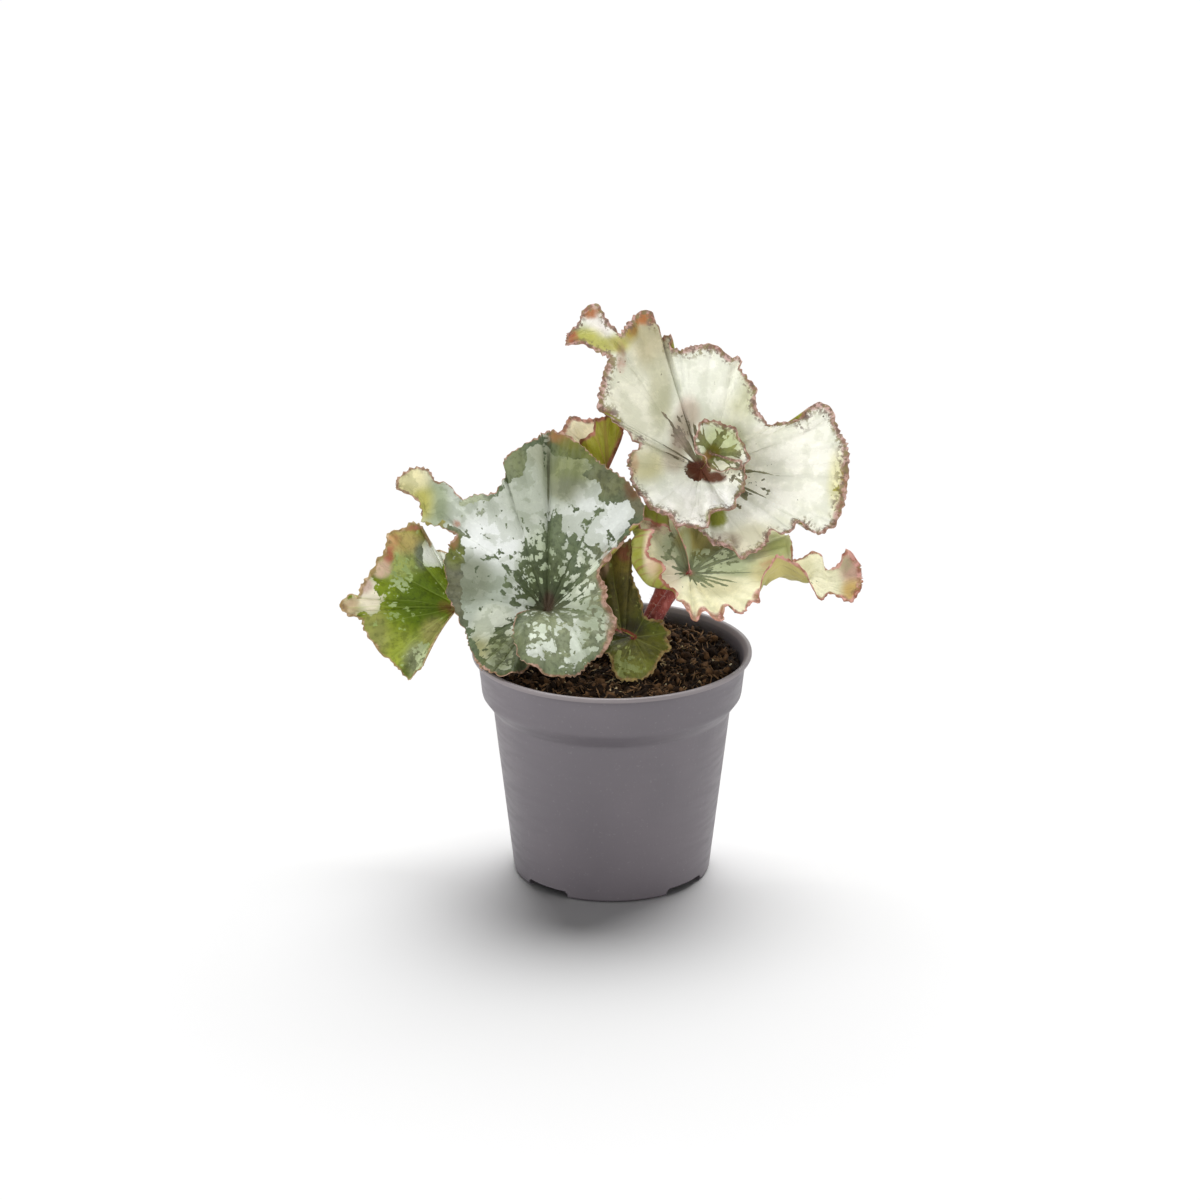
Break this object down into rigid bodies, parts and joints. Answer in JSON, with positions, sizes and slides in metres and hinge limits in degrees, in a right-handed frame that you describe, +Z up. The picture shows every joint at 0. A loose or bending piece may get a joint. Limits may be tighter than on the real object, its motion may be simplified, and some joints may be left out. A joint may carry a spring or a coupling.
{
  "type": "potted escargot rex begonia",
  "caption": "Potted rex begonia: wavy snail-shaped leaves in silver, cream and green on short red stalks, in soil in a plain tapered plastic nursery pot.",
  "frame": {"origin": "centre of the pot's flat underside", "axes": "+Z up the pot, +X to the right as seen from the front, the front of the plant towards -Y"},
  "size_m": [0.2226, 0.12, 0.2374],
  "materials": {
    "pot": "satin taupe-grey moulded plastic",
    "soil": "loose dark peat and bark, matt",
    "stems": "dark red hairy leaf stalks",
    "leaf_front": "silver and green leaf, soft sheen",
    "leaf_right_high": "cream-white leaf with pink-brown edge, soft sheen",
    "leaf_right_low": "cream-yellow leaf with pink edge, soft sheen",
    "leaf_left": "bright green leaf with pale spots, soft sheen",
    "leaf_back_small": "olive and cream leaf, soft sheen",
    "leaf_front_small": "olive-green leaf, soft sheen"
  },
  "bodies": {
    "root": {"pot": "pot", "soil": "soil", "stems": "stems", "leaf_front": "leaf_front", "leaf_right_high": "leaf_right_high", "leaf_right_low": "leaf_right_low", "leaf_left": "leaf_left", "leaf_back_small": "leaf_back_small", "leaf_front_small": "leaf_front_small"}
  },
  "joints": []
}
